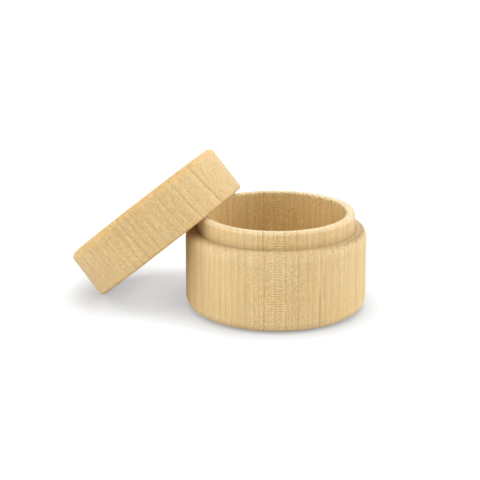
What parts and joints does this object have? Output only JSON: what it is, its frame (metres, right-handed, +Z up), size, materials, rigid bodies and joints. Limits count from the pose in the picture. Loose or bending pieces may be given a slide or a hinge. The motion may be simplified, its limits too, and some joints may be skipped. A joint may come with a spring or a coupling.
{
  "type": "turned wooden box",
  "caption": "Small round turned wooden box with a collar round its mouth and a loose slip-on lid that leans against it.",
  "frame": {"origin": "centre of the flat underside of the box body, on the surface that it stands on", "axes": "+Z up, along the body's turning axis; +X to the right as the picture shows the box, so the lid lies towards -X; +Y away from the viewer"},
  "size_m": [0.1045, 0.0759, 0.0532],
  "materials": {
    "body_wood": "bare pale wood, finely sanded, satin",
    "lid_wood": "bare pale wood, finely sanded, satin"
  },
  "bodies": {
    "body": {"box_body": "body_wood"},
    "lid": {"lid": "lid_wood"}
  },
  "joints": [
    {"name": "lid_lift", "type": "slide", "parent": "body", "child": "lid", "axis": [0, 0, 1], "range_m": [0, 0.06]}
  ]
}
